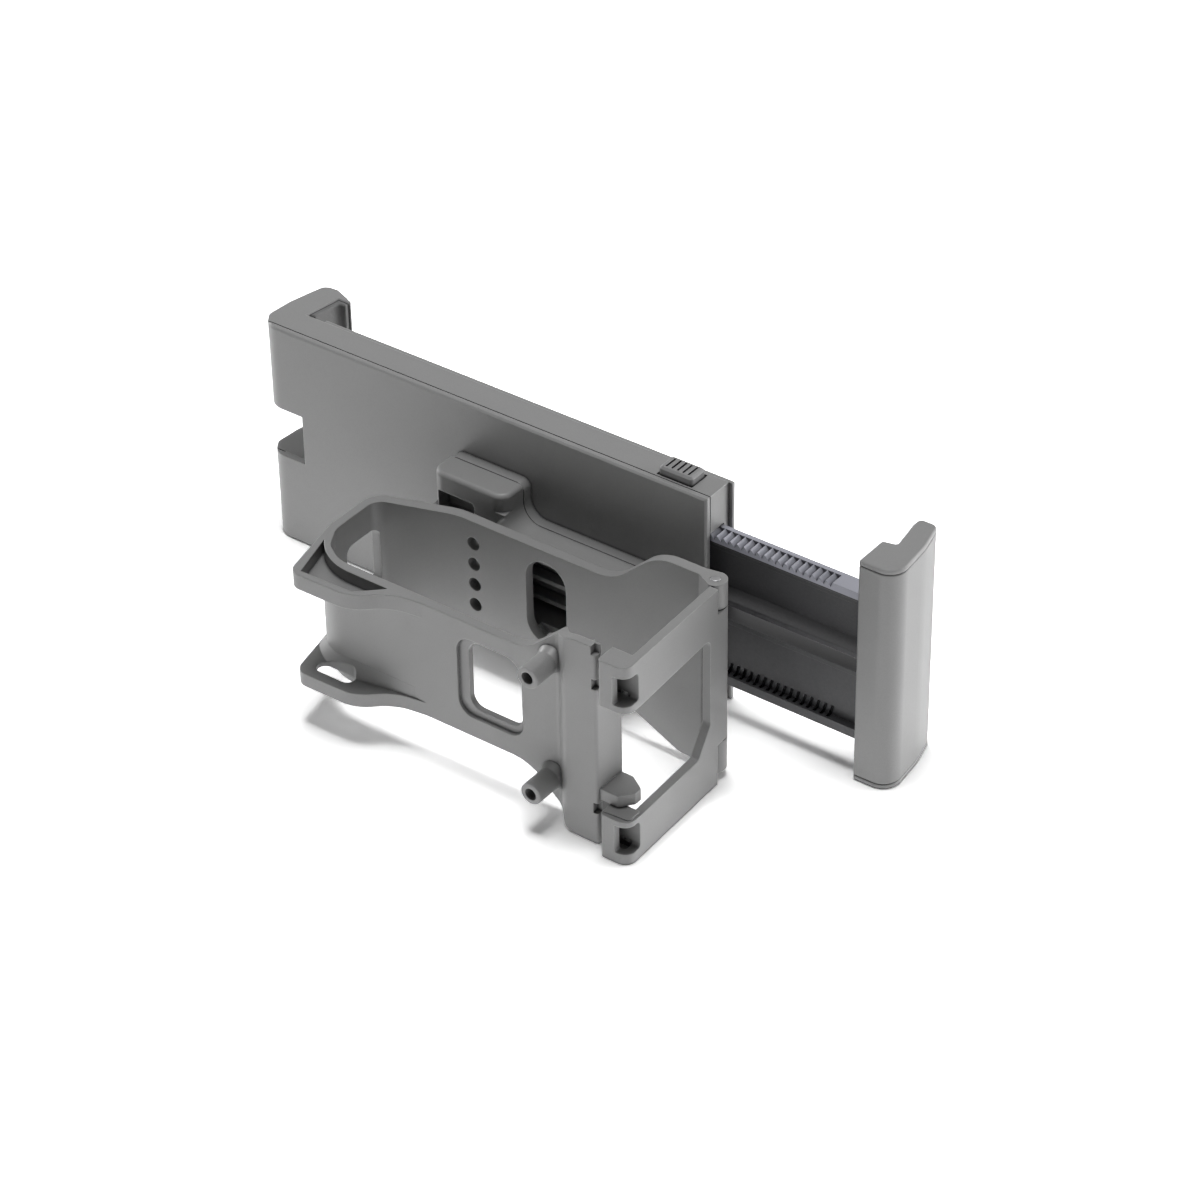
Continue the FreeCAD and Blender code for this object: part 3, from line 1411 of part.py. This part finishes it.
# Steel hinge pin with eased ends
def buildHingePin():
    body = newBody("hinge_pin")
    section = newSketch(body, "XY_Plane", "dim.knuckle_foot / 2")
    drawCircle(section, "dim.hinge_place", "-dim.hinge_depth", "dim.hinge_pin_radius")
    pad(body, section, "dim.cage_height + 0.2 - dim.knuckle_foot / 2")
    names = [f"Edge{number}" for number, edge in enumerate(body.Shape.Edges, start=1)
             if len(edge.Vertexes) == 1]
    dress(body, "Fillet", names, "0.3")


# Screws along the depth: heads at one depth, tips at another
def buildScrews(label, places, headBack, headFront, tip):
    solids = []
    for across, up in places:
        head = Part.makeCylinder(size("screw_head_radius"), abs(headBack - headFront),
                                 Vector(across, min(headBack, headFront), up), Vector(0, 1, 0))
        shank = Part.makeCylinder(size("screw_radius"), abs(tip - headBack),
                                  Vector(across, min(tip, headBack), up), Vector(0, 1, 0))
        drive = Part.makeBox(2.4, 0.5, 0.5)
        side = 1 if headFront > headBack else -1
        deep = headFront - 0.5 if side > 0 else headFront
        drive.translate(Vector(across - 1.2, deep, up - 0.25))
        solids.append(head.fuse(shank).cut(drive).removeSplitter())
    group = doc.addObject("Part::Feature", label)
    group.Label = label
    group.Shape = Part.makeCompound(solids)
    place(group)


buildFrontCover()
buildRearShell()
buildTabletPlate()
buildLeftPad("left_pad_upper", "dim.notch_high + dim.pad_inset",
             "dim.body_height - dim.notch_high - dim.pad_inset * 2")
buildLeftPad("left_pad_lower", "dim.pad_inset", "dim.notch_low - dim.pad_inset * 2")
buildReleaseButton()
buildButtonSpring()
buildPawlLever()
buildLeverPin()
buildSlidingRail()
buildRightJaw()
buildJawCap("jaw_cap_top", "dim.body_height - dim.cap_thick",
            size("body_height"), size("body_height") - size("cap_thick"))
buildJawCap("jaw_cap_bottom", "0", 0.0, size("cap_thick"))
buildRightPad()
buildBracketRear()
buildBracketFront()
buildCageFrame()
buildCageDoor()
buildHingePin()
coverHead = size("shell_back") - size("screw_head_depth")
buildScrews("cover_screws", coverScrews(), coverHead, size("shell_back"), size("cover_depth") + 0.1)
buildScrews("bracket_screws", bracketScrews(), size("cover_depth"),
            size("cover_depth") + size("screw_head_depth"), -size("bracket_rear_depth") * 0.6)
cageHead = -size("head_front") + 3.0
buildScrews("cage_screws", screwColumn(), cageHead, cageHead - size("screw_head_depth"),
            -size("bracket_rear_depth") * 0.4)

# Nothing is written unless every object and every piece is sound
doc.recompute()
for item in doc.Objects:
    if "Invalid" in item.State or "Error" in item.State:
        raise RuntimeError(f"{item.Name} failed: {item.State}")
for piece in pieces:
    shape = piece.Shape
    if shape.isNull() or not shape.isValid():
        raise RuntimeError(f"{piece.Label} has no sound shape")
    shape.exportStep(f"parts/{piece.Label}.step")
    print(piece.Label, len(shape.Solids), "solids", round(shape.Volume, 1), "mm3")
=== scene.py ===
import json
import math

import bpy
from mathutils import Matrix, Vector


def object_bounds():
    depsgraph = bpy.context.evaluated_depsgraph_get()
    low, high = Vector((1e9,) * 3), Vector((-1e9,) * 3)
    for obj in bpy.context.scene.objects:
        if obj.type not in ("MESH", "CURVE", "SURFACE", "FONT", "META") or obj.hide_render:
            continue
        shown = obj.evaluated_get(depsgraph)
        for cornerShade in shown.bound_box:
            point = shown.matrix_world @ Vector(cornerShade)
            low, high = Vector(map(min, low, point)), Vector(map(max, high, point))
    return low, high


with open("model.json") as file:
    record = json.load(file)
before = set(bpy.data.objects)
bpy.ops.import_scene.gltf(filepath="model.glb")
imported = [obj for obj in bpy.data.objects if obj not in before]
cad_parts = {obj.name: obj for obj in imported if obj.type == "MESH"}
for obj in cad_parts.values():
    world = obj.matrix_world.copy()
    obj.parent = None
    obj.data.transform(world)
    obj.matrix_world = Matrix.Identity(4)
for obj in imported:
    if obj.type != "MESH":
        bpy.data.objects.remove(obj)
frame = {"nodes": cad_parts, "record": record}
cadLow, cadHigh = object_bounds()
print("frame loaded:", len(frame["nodes"]), "nodes")


# A socket that takes part in sums: each operator adds its own Math node
class Value:
    def __init__(self, shader, socket):
        self.shader = shader
        self.socket = socket

    def combine(self, kind, first, second):
        return self.shader.node("ShaderNodeMath", {"operation": kind}, {0: first, 1: second}).out()

    def __add__(self, other):
        return self.combine("ADD", self, other)

    def __radd__(self, other):
        return self.combine("ADD", other, self)

    def __sub__(self, other):
        return self.combine("SUBTRACT", self, other)

    def __rsub__(self, other):
        return self.combine("SUBTRACT", other, self)

    def __mul__(self, other):
        return self.combine("MULTIPLY", self, other)

    def __rmul__(self, other):
        return self.combine("MULTIPLY", other, self)

    # 0 below low, 1 above high
    def above(self, low, high):
        values = {"Value": self, "From Min": low, "From Max": high}
        return self.shader.node("ShaderNodeMapRange", {"clamp": True}, values).out()


# A node whose outputs come back as Values
class Made:
    def __init__(self, shader, node):
        self.shader = shader
        self.node = node

    def out(self, name=0):
        return Value(self.shader, self.node.outputs[name])


# The node tree of a material or of the world, with one way to make every node
class Shader:
    def __init__(self, owner):
        self.owner = owner
        self.owner.use_nodes = True
        self.tree = owner.node_tree
        self.tree.nodes.clear()

    def node(self, kind, settings=None, values=None):
        made = self.tree.nodes.new(kind)
        for name, setting in (settings or {}).items():
            setattr(made, name, setting)
        for name, value in (values or {}).items():
            socket = made.inputs[name]
            if isinstance(value, Value):
                self.tree.links.new(value.socket, socket)
            elif isinstance(value, tuple) and len(value) == 3 and socket.type == "RGBA":
                socket.default_value = (*value, 1.0)
            else:
                socket.default_value = value
        return Made(self, made)

    # Places in the piece's own space, so that nothing slides in another view
    def places(self):
        return self.node("ShaderNodeTexCoord").out("Object")

    def along(self, axis):
        return self.node("ShaderNodeSeparateXYZ", None, {"Vector": self.places()}).out(axis)

    def noise(self, scale, detail=4.0, roughness=0.55, stretch=(1.0, 1.0, 1.0)):
        where = self.node("ShaderNodeVectorMath", {"operation": "MULTIPLY"},
                          {0: self.places(), 1: stretch}).out("Vector")
        values = {"Vector": where, "Scale": scale, "Detail": detail, "Roughness": roughness}
        return self.node("ShaderNodeTexNoise", {"noise_dimensions": "3D"}, values).out("Fac")

    # 1 on rounded corners and edges, 0 on flat faces
    def edges(self, width, band=(0.004, 0.20)):
        rounded = self.node("ShaderNodeBevel", {"samples": 6}, {"Radius": width}).out("Normal")
        flat = self.node("ShaderNodeNewGeometry").out("Normal")
        likeness = self.node("ShaderNodeVectorMath", {"operation": "DOT_PRODUCT"},
                             {0: rounded, 1: flat}).out("Value")
        return rounded, (1.0 - likeness).above(*band)

    # 1 deep in a corner, groove or bore, 0 on open faces
    def hidden(self, reach, alone):
        lit = self.node("ShaderNodeAmbientOcclusion", {"samples": 6, "only_local": alone},
                        {"Distance": reach}).out("AO")
        return 1.0 - lit

    # The Mix node's colour sockets are its inputs 6 and 7 and its output 2
    def blendColours(self, amount, first, second):
        return self.node("ShaderNodeMix", {"data_type": "RGBA", "blend_type": "MIX"},
                         {0: amount, 6: first, 7: second}).out(2)

    # 1 where the eye, a mirror or clear glass looks straight at this surface
    def seenDirectly(self):
        rays = self.node("ShaderNodeLightPath")
        eyeOrMirror = rays.out("Is Camera Ray") + rays.out("Is Glossy Ray")
        return (eyeOrMirror + rays.out("Is Transmission Ray")).above(0.0, 1.0)

    def finish(self, values):
        surface = self.node("ShaderNodeBsdfPrincipled", None, values).out("BSDF")
        self.node("ShaderNodeOutputMaterial", None, {"Surface": surface})
        return self.owner


# Moulded plastic: spark-eroded grain, faint flow marks, edges a little shinier in patches and
# painted lighter as a highlight, and painted shade in seams and corners. Only the rail states a
# strip, and only the bracket a painted shadow line along its joint.
def mouldedPlastic(name, look):
    shader = Shader(bpy.data.materials.new(name))
    rounded, edge = shader.edges(look["edgeWidth"])
    flow = shader.noise(look["flowScale"], 3.0, 0.5, look["flowStretch"])
    speck = shader.noise(look["grainScale"], 2.0, 0.5)
    fine = shader.noise(look["grainScale"] * look["fineTimes"], 2.0, 0.6)

    # Painted highlight: rounded edges are coloured lighter, in patches; the same mask makes them a
    # little shinier
    patches = shader.noise(look["rubHighlightScale"], 3.0, 0.6).above(*look["rubHighlightBand"])
    rubAndHighlight = edge * (look["rubHighlightLeast"] + (1.0 - look["rubHighlightLeast"]) * patches)
    tone = (0.5 * flow + 0.5 * speck).above(*look["toneBand"])
    plain = shader.blendColours(tone, look["darker"], look["lighter"])
    withEdgeHighlight = shader.blendColours(rubAndHighlight * look["edgeLight"], plain, look["edgeHighlightColour"])
    if "stripLevel" in look:
        strip = shader.along("Z").above(look["stripLevel"], look["stripLevel"] + look["stripBlur"])
        withEdgeHighlight = shader.blendColours(strip, withEdgeHighlight, look["stripColour"])

    # Painted shade: darker in seams between parts and in the piece's own corners, from ambient
    # occlusion
    seamShade = shader.hidden(look["seamReach"], False).above(*look["seamBand"])
    cornerShade = shader.hidden(look["cornerReach"], True).above(*look["cornerBand"])
    shaded = 1.0 - (1.0 - look["seamDark"] * seamShade) * (1.0 - look["cornerDark"] * cornerShade)
    # Painted shadow: a dark band on the bracket's joint chamfer, where the groove lies in shade
    if "jointPlane" in look:
        depth = shader.along("Y")
        near = look["jointPlane"]
        far = near + look["jointWidth"]
        started = depth.above(near - look["jointBlur"], near + look["jointBlur"])
        ended = depth.above(far, far + look["jointFade"])
        jointShadow = started * (1.0 - ended)
        shaded = 1.0 - (1.0 - shaded) * (1.0 - look["jointShadowDark"] * jointShadow)
    colour = shader.blendColours(shaded, withEdgeHighlight, look["shadeColour"])

    bump = shader.node("ShaderNodeBump", None, {
        "Strength": look["grainStrength"], "Distance": look["grainDepth"],
        "Height": (1.0 - look["fineShare"]) * speck + look["fineShare"] * fine,
        "Normal": rounded,
    }).out("Normal")
    uneven = look["flowRough"] * (flow - 0.5) + look["grainRough"] * (speck - 0.5)
    rough = look["roughness"] + uneven - look["edgeShine"] * rubAndHighlight
    return shader.finish({
        "Base Color": colour, "Roughness": rough, "Normal": bump,
        "Specular IOR Level": look["gloss"],
    })


# Soft rubber: darker and duller, with a fine pebbled surface, paler with dust, and a painted
# highlight on its edges
def softRubber(name, look):
    shader = Shader(bpy.data.materials.new(name))
    rounded, edge = shader.edges(look["edgeWidth"])
    pebble = shader.node("ShaderNodeTexVoronoi", {"feature": "F1"}, {
        "Vector": shader.places(), "Scale": look["pebbleScale"],
    }).out("Distance")
    dust = shader.noise(look["dustScale"], 5.0, 0.6).above(*look["dustBand"])
    # Paler where dusty, and a painted highlight on the rounded edges
    dustAndEdgeHighlight = dust * look["dustShare"] + edge * look["edgeShare"]
    colour = shader.blendColours(dustAndEdgeHighlight, look["colour"], look["dustAndHighlightColour"])
    bump = shader.node("ShaderNodeBump", None, {
        "Strength": look["pebbleStrength"], "Distance": look["pebbleDepth"],
        "Height": pebble, "Normal": rounded,
    }).out("Normal")
    rough = look["roughness"] + look["dustRough"] * dust
    return shader.finish({
        "Base Color": colour, "Roughness": rough, "Normal": bump,
        "Specular IOR Level": look["gloss"],
    })


# Turned or drawn metal: fine lines along one direction, a few handling marks, and a painted glint
# on its edges
def drawnMetal(name, look):
    shader = Shader(bpy.data.materials.new(name))
    rounded, edge = shader.edges(look["edgeWidth"])
    lines = shader.noise(look["lineScale"], 3.0, 0.6, look["stretch"])
    smear = shader.noise(look["smearScale"], 4.0, 0.6).above(*look["smearBand"])
    # Brighter on handling marks, and a painted glint on the rounded edges
    smearAndEdgeGlint = smear * look["smearShare"] + edge * look["edgeShare"]
    colour = shader.blendColours(smearAndEdgeGlint, look["colour"], look["bright"])
    bump = shader.node("ShaderNodeBump", None, {
        "Strength": look["lineStrength"], "Distance": look["lineDepth"],
        "Height": lines, "Normal": rounded,
    }).out("Normal")
    rough = look["roughness"] + look["lineRough"] * (lines - 0.5) + look["smearRough"] * smear
    return shader.finish({
        "Base Color": colour, "Roughness": rough, "Metallic": 1.0, "Normal": bump,
    })


# Lengths are in metres, and a band is where a mask starts and where it is full
mouldedLook = {
    "flowStretch": (1.0, 1.6, 0.7), "fineTimes": 2.6, "fineShare": 0.4, "toneBand": (0.32, 0.68),
    "rubHighlightScale": 420.0, "rubHighlightBand": (0.35, 0.65), "rubHighlightLeast": 0.55,
    "seamReach": 0.0009, "seamBand": (0.12, 0.50), "cornerBand": (0.25, 0.90),
    "flowRough": 0.08, "grainRough": 0.06,
}
bodyPlastic = dict(
    mouldedLook,
    darker=(0.262, 0.262, 0.262), lighter=(0.290, 0.290, 0.290),
    edgeHighlightColour=(0.52, 0.52, 0.52), edgeLight=0.75, edgeWidth=0.00040,
    seamDark=0.85, cornerReach=0.010, cornerDark=0.42, shadeColour=(0.030, 0.030, 0.031),
    roughness=0.42, edgeShine=0.14, gloss=0.5,
    flowScale=38.0, grainScale=2600.0, grainStrength=0.35, grainDepth=0.00008,
)
buttonPlastic = dict(
    bodyPlastic,
    darker=(0.240, 0.240, 0.242), lighter=(0.270, 0.270, 0.272),
    edgeWidth=0.0003, edgeLight=0.7,
)
# The bracket carries a painted shadow line along its joint groove
bracketPlastic = dict(
    bodyPlastic,
    jointPlane=-0.01395, jointWidth=0.00042, jointBlur=0.00002, jointFade=0.00005,
    jointShadowDark=0.92,
)
# The rail is almost black, and its upper rack is a lavender grey
railPlastic = dict(
    mouldedLook,
    darker=(0.040, 0.040, 0.043), lighter=(0.058, 0.058, 0.062),
    edgeHighlightColour=(0.16, 0.16, 0.18), edgeLight=0.5, edgeWidth=0.00018,
    seamDark=0.8, cornerReach=0.006, cornerDark=0.5, shadeColour=(0.008, 0.008, 0.009),
    stripLevel=0.0196, stripBlur=0.0001, stripColour=(0.400, 0.405, 0.460),
    roughness=0.46, edgeShine=0.12, gloss=0.55,
    flowScale=90.0, grainScale=1500.0, grainStrength=0.45, grainDepth=0.00010,
)
padRubber = {
    "colour": (0.19, 0.19, 0.19), "dustAndHighlightColour": (0.26, 0.26, 0.26),
    "edgeWidth": 0.0003, "edgeShare": 0.25,
    "pebbleScale": 1500.0, "pebbleDepth": 0.00008, "pebbleStrength": 0.5,
    "dustScale": 160.0, "dustBand": (0.45, 0.75), "dustShare": 0.35, "dustRough": 0.1,
    "roughness": 0.72, "gloss": 0.3,
}
pinSteel = {
    "colour": (0.20, 0.20, 0.205), "bright": (0.42, 0.42, 0.42),
    "edgeWidth": 0.0002, "edgeShare": 0.4,
    "lineScale": 900.0, "stretch": (1.0, 1.0, 0.05), "lineStrength": 0.35,
    "lineDepth": 0.00003, "lineRough": 0.12,
    "smearScale": 180.0, "smearBand": (0.4, 0.7), "smearShare": 0.5, "smearRough": 0.1,
    "roughness": 0.34,
}
screwSteel = dict(
    pinSteel,
    colour=(0.05, 0.05, 0.052), bright=(0.22, 0.22, 0.22),
    roughness=0.38, stretch=(1.0, 0.05, 1.0),
)

finishes = {
    "body_grey": mouldedPlastic("bodyPlastic", bodyPlastic),
    "button_grey": mouldedPlastic("buttonPlastic", buttonPlastic),
    "rail_dark": mouldedPlastic("railPlastic", railPlastic),
    "pad_rubber": softRubber("padRubber", padRubber),
    "steel": drawnMetal("pinSteel", pinSteel),
    "screw_steel": drawnMetal("screwSteel", screwSteel),
}
# The bracket's rear half has a painted shadow line in the joint groove against its front half
finishOfNode = {"bracket_rear": mouldedPlastic("bracketPlastic", bracketPlastic)}
print("finishes made:", len(finishes) + len(finishOfNode))


# Every carried-over solid takes the finish of its slot
slotOfNode = {part["node"]: part["material_slot"] for part in frame["record"]["subparts"]}
for nodeName, solid in frame["nodes"].items():
    material = finishOfNode.get(nodeName, finishes[slotOfNode[nodeName]])
    solid.data.materials.clear()
    solid.data.materials.append(material)
print("solids dressed:", len(slotOfNode))


studio = {
    "floorLevel": cadLow[2],
    "floorHalf": 3.0,
    "floorWhite": 0.80,
    "floorSeen": 2.50,
    "fibreScale": 700.0,
    "fibreBand": (0.3, 0.7),
    "fibreLift": 0.01,
    "shadowEnd": 0.22,
    "backdropStart": 0.42,
    "contactReach": 0.034,
    "contactBand": (0.25, 1.0),
    "contactShade": (0.42, 0.42, 0.42),
    "tableLight": 0.88,
    "worldLight": 0.0,
    "lamps": {
        "above": {"from": (0.02, 0.00, 1.10), "size": (0.40, 0.40), "power": 7.2},
        "left": {"from": (-1.10, 0.12, 0.16), "size": (0.26, 0.30), "power": 4.5},
        "right": {"from": (0.80, 0.80, 0.14), "size": (0.60, 0.30), "power": 8.0},
    },
    "aim": (0.02, -0.02, -0.005),
}


# White light table: it lights the part from below, and the eye sees it white with a soft shadow
# and a painted contact shadow close to the part, both fading out into the backdrop
def makeFloor():
    mesh = bpy.data.meshes.new("floor")
    half = studio["floorHalf"]
    signs = [(-1, -1), (1, -1), (1, 1), (-1, 1)]
    corners = [(half * x, half * y, studio["floorLevel"]) for x, y in signs]
    mesh.from_pydata(corners, [], [(0, 1, 2, 3)])
    floor = bpy.data.objects.new("floor", mesh)
    bpy.context.scene.collection.objects.link(floor)

    shader = Shader(bpy.data.materials.new("paper"))
    pureWhite = (1.0, 1.0, 1.0)
    darker = (studio["floorWhite"],) * 3
    lighter = (studio["floorWhite"] + studio["fibreLift"],) * 3
    fibre = shader.noise(studio["fibreScale"], 4.0, 0.6).above(*studio["fibreBand"])
    tone = shader.blendColours(fibre, darker, lighter)
    paper = shader.node("ShaderNodeBsdfDiffuse", None, {"Color": tone}).out("BSDF")
    table = shader.node("ShaderNodeEmission", None, {
        "Color": pureWhite, "Strength": studio["tableLight"],
    }).out()
    lit = shader.node("ShaderNodeAddShader", None, {0: paper, 1: table}).out()

    # Painted contact shadow: the floor is coloured darker where the part stands close over it
    contactShadow = shader.hidden(studio["contactReach"], False).above(*studio["contactBand"])
    ground = shader.blendColours(contactShadow, (studio["floorSeen"],) * 3, studio["contactShade"])
    near = shader.node("ShaderNodeBsdfDiffuse", None, {"Color": ground}).out("BSDF")
    backdrop = shader.node("ShaderNodeEmission", None, {
        "Color": pureWhite, "Strength": 1.0,
    }).out()
    away = shader.node("ShaderNodeVectorMath", {"operation": "LENGTH"}, {
        0: shader.places(),
    }).out("Value")
    fade = away.above(studio["shadowEnd"], studio["backdropStart"])
    shown = shader.node("ShaderNodeMixShader", None, {0: fade, 1: near, 2: backdrop}).out()
    both = shader.node("ShaderNodeMixShader", None, {
        0: shader.seenDirectly(), 1: lit, 2: shown,
    }).out()
    shader.node("ShaderNodeOutputMaterial", None, {"Surface": both})
    mesh.materials.append(shader.owner)


# The world is white to the eye and gives its own light to the rest
def makeWorld():
    world = bpy.data.worlds.new("studio")
    bpy.context.scene.world = world
    shader = Shader(world)
    soft, shown = [
        shader.node("ShaderNodeBackground", None, {
            "Color": (1.0, 1.0, 1.0), "Strength": strength,
        }).out()
        for strength in (studio["worldLight"], 1.0)
    ]
    both = shader.node("ShaderNodeMixShader", None, {
        0: shader.seenDirectly(), 1: soft, 2: shown,
    }).out()
    shader.node("ShaderNodeOutputWorld", None, {"Surface": both})


def makeLamp(name):
    lamp = studio["lamps"][name]
    data = bpy.data.lights.new(name, "AREA")
    data.shape = "RECTANGLE"
    data.size, data.size_y = lamp["size"]
    data.energy = lamp["power"]
    made = bpy.data.objects.new(name, data)
    place = Vector(lamp["from"])
    made.location = place
    made.rotation_euler = (place - Vector(studio["aim"])).to_track_quat("Z", "Y").to_euler()
    bpy.context.scene.collection.objects.link(made)


makeFloor()
makeWorld()
for lampName in studio["lamps"]:
    makeLamp(lampName)
print("studio lit")


cameraPlace = {
    "from": (0.5357, -0.6709, 0.5840),
    "target": (0.0364, -0.01055, -0.01035),
    "sensor": 36.0,
    "lens": 121.56,
    "roll": -0.972,
    "clip": (0.05, 20.0),
}


def makeCamera():
    data = bpy.data.cameras.new("camera")
    data.sensor_width = cameraPlace["sensor"]
    data.lens = cameraPlace["lens"]
    data.clip_start, data.clip_end = cameraPlace["clip"]
    made = bpy.data.objects.new("camera", data)
    place = Vector(cameraPlace["from"])
    back = (place - Vector(cameraPlace["target"])).normalized()
    right = Vector((0.0, 0.0, 1.0)).cross(back).normalized()
    up = back.cross(right)
    roll = math.radians(cameraPlace["roll"])
    across = math.cos(roll) * right + math.sin(roll) * up
    above = math.cos(roll) * up - math.sin(roll) * right
    matrix = Matrix((across, above, back)).transposed().to_4x4()
    matrix.translation = place
    made.matrix_world = matrix
    bpy.context.scene.collection.objects.link(made)
    bpy.context.scene.camera = made


makeCamera()
bpy.context.scene.view_settings.view_transform = "Standard"
print("camera placed")
